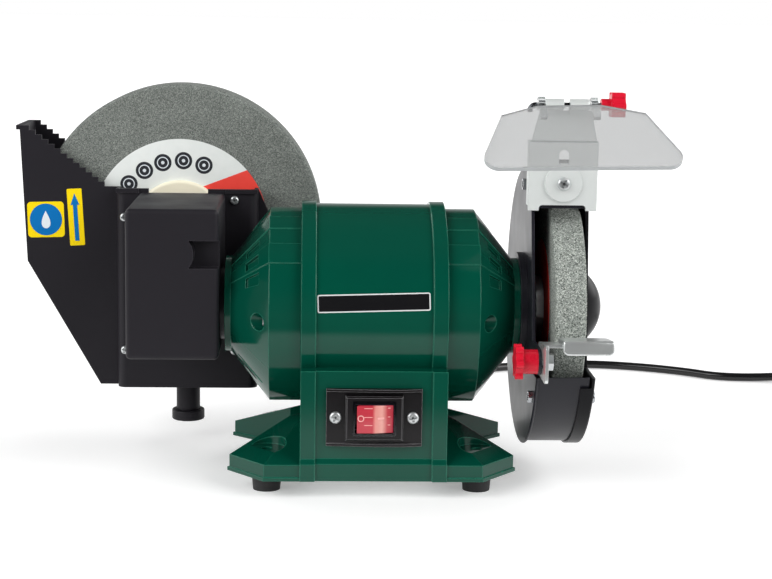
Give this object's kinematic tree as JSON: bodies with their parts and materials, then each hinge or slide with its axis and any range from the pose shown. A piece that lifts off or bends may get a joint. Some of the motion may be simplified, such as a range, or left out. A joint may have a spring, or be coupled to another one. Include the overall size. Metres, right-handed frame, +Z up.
{
  "type": "bench grinder",
  "caption": "Bench grinder for wet and dry grinding: green motor on a legged base, guarded dry wheel with eye shield and tool rest, large wet wheel in a black water trough, rocker switch, cord.",
  "frame": {"origin": "on the bench, at the centre of the four bolt holes", "axes": "+X along the motor shaft towards the dry wheel, +Y to the back, away from the switch, +Z up"},
  "size_m": [0.717, 0.4671, 0.2602],
  "materials": {
    "green_paint": "gloss enamel on cast aluminium",
    "zinc": "bright zinc plate",
    "foot_rubber": "matt moulded rubber",
    "core_steel": "laminated steel",
    "copper": "varnished copper wire",
    "bearing_steel": "polished steel",
    "cast_frame": "as cast",
    "black_plastic": "fine grained moulding",
    "bronze": "machined",
    "black_paint": "semi gloss enamel on sheet steel",
    "gloss_black": "polished moulding",
    "clear_plastic": "clear polycarbonate",
    "capacitor_plastic": "moulded can",
    "cord_rubber": "matt",
    "shaft_steel": "ground steel",
    "dry_stone": "bonded grey grit",
    "red_label": "printed paper",
    "wet_stone": "bonded grey grit",
    "white_label": "printed paper",
    "cream_plastic": "moulded",
    "red_plastic": "moulded",
    "rocker_plastic": "tinted clear moulding"
  },
  "bodies": {
    "base": {"pedestal_base": "green_paint", "base_plate": "zinc", "base_plate_screws": "zinc", "rubber_feet": "foot_rubber", "motor_barrel": "green_paint", "left_end_bell": "green_paint", "right_end_bell": "green_paint", "tie_bolts": "zinc", "stator_core": "core_steel", "stator_windings": "copper", "ball_bearings": "bearing_steel", "gear_frame": "cast_frame", "gear_cover": "black_plastic", "gear_bushes": "bronze", "trough": "black_plastic", "trough_screws": "zinc", "guard_spacer": "black_paint", "wheel_guard": "black_paint", "guard_cover": "black_paint", "guard_screws": "zinc", "spark_screw": "zinc", "tool_rest_bolt": "zinc", "switch_plate": "gloss_black", "switch_body": "gloss_black", "switch_frame": "clear_plastic", "switch_screws": "zinc", "capacitor": "capacitor_plastic", "cord_gland": "cord_rubber", "power_cord": "cord_rubber", "cord_coil": "cord_rubber", "cord_tie": "black_plastic", "plug": "cord_rubber"},
    "rotor": {"motor_shaft": "shaft_steel", "rotor_core": "core_steel", "worm": "shaft_steel", "bearing_inner_races": "bearing_steel", "dry_wheel": "dry_stone", "dry_wheel_labels": "red_label", "dry_wheel_flanges": "zinc", "dry_wheel_nut": "zinc"},
    "layshaft": {"layshaft": "shaft_steel", "worm_wheel": "bronze", "layshaft_pinion": "shaft_steel"},
    "wet_wheel": {"wet_shaft": "shaft_steel", "output_gear": "shaft_steel", "wet_wheel": "wet_stone", "wet_wheel_labels": "white_label", "wet_wheel_flanges": "cream_plastic", "wet_wheel_nut": "zinc"},
    "arrester": {"spark_arrester": "zinc", "hinge_rod": "zinc"},
    "shield": {"eye_shield": "clear_plastic", "shield_hinge": "clear_plastic"},
    "shield_knob": {"shield_knob": "red_plastic"},
    "tool_rest": {"tool_rest": "zinc", "tool_rest_bracket": "zinc"},
    "tool_rest_knob": {"tool_rest_knob": "red_plastic"},
    "rocker": {"switch_rocker": "rocker_plastic"},
    "drain_cap": {"drain_cap": "black_plastic"}
  },
  "joints": [
    {"name": "motor_spin", "type": "hinge", "parent": "base", "child": "rotor", "pos_m": [0, 0, 0.114], "axis": [1, 0, 0], "continuous": true},
    {"name": "layshaft_spin", "type": "hinge", "parent": "base", "child": "layshaft", "pos_m": [-0.133, 0, 0.13525], "axis": [0, 1, 0], "continuous": true},
    {"name": "wet_wheel_spin", "type": "hinge", "parent": "base", "child": "wet_wheel", "pos_m": [-0.133, 0, 0.15525], "axis": [0, 1, 0], "continuous": true},
    {"name": "arrester_slide", "type": "slide", "parent": "base", "child": "arrester", "axis": [0, 0, 1], "range_m": [-0.01, 0.004]},
    {"name": "shield_tilt", "type": "hinge", "parent": "arrester", "child": "shield", "pos_m": [0, -0.058, 0.252], "axis": [1, 0, 0], "range_deg": [-85, 15]},
    {"name": "shield_knob_turn", "type": "hinge", "parent": "arrester", "child": "shield_knob", "pos_m": [0, -0.058, 0.252], "axis": [1, 0, 0], "range_deg": [-180, 0]},
    {"name": "tool_rest_slide", "type": "slide", "parent": "base", "child": "tool_rest", "axis": [0, 1, 0], "range_m": [-0.008, 0.002]},
    {"name": "tool_rest_knob_turn", "type": "hinge", "parent": "base", "child": "tool_rest_knob", "pos_m": [0, -0.09, 0.0935], "axis": [1, 0, 0], "range_deg": [-180, 0]},
    {"name": "rocker_tilt", "type": "hinge", "parent": "base", "child": "rocker", "pos_m": [0, -0.0766, 0.0537], "axis": [0, 0, 1], "range_deg": [-12, 0]},
    {"name": "drain_cap_pull", "type": "slide", "parent": "base", "child": "drain_cap", "axis": [0, 0, -1], "range_m": [0, 0.006]}
  ],
  "couplings": [
    {"joint": "layshaft_spin", "follows": "motor_spin", "ratio": 0.045455},
    {"joint": "wet_wheel_spin", "follows": "motor_spin", "ratio": -0.045455}
  ]
}
